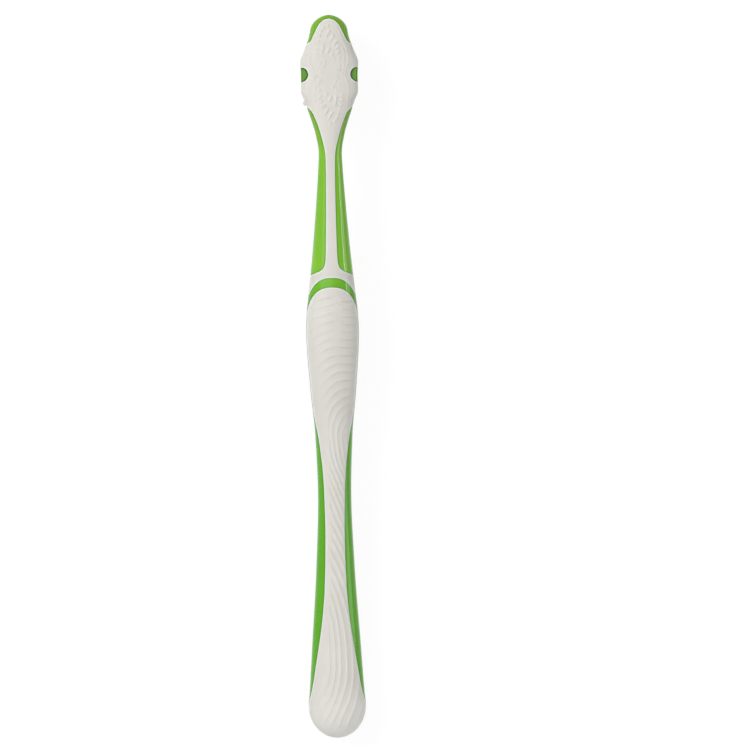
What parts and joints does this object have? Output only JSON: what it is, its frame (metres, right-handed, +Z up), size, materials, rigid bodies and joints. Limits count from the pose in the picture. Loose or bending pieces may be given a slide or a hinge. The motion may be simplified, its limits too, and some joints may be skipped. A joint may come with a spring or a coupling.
{
  "type": "manual toothbrush",
  "caption": "Manual toothbrush with a contoured soft-grip handle, ribbed thumb rest, tongue cleaner on the back of the head and rows of upright bristle tufts.",
  "frame": {"origin": "on the surface that the brush lies on, under the middle of its bounding box", "axes": "+Y runs from the butt to the toe of the head, +X across the brush, +Z up out of its back; the bristles point down"},
  "size_m": [0.0152, 0.1904, 0.0161],
  "materials": {
    "hard_plastic": "glossy, slightly translucent bright green",
    "soft_rubber": "satin warm white thermoplastic rubber",
    "bristle": "clear nylon",
    "anchor_metal": "plain flat wire"
  },
  "bodies": {
    "root": {"handle_core": "hard_plastic", "head_cover": "soft_rubber", "front_grip": "soft_rubber", "rear_grip": "soft_rubber", "tuft_row_1": "bristle", "tuft_row_2": "bristle", "tuft_row_3": "bristle", "tuft_row_4": "bristle", "tuft_row_5": "bristle", "tuft_row_6": "bristle", "tuft_row_7": "bristle", "tuft_row_8": "bristle", "tuft_row_9": "bristle", "tuft_row_10": "bristle", "tuft_anchors": "anchor_metal"}
  },
  "joints": []
}
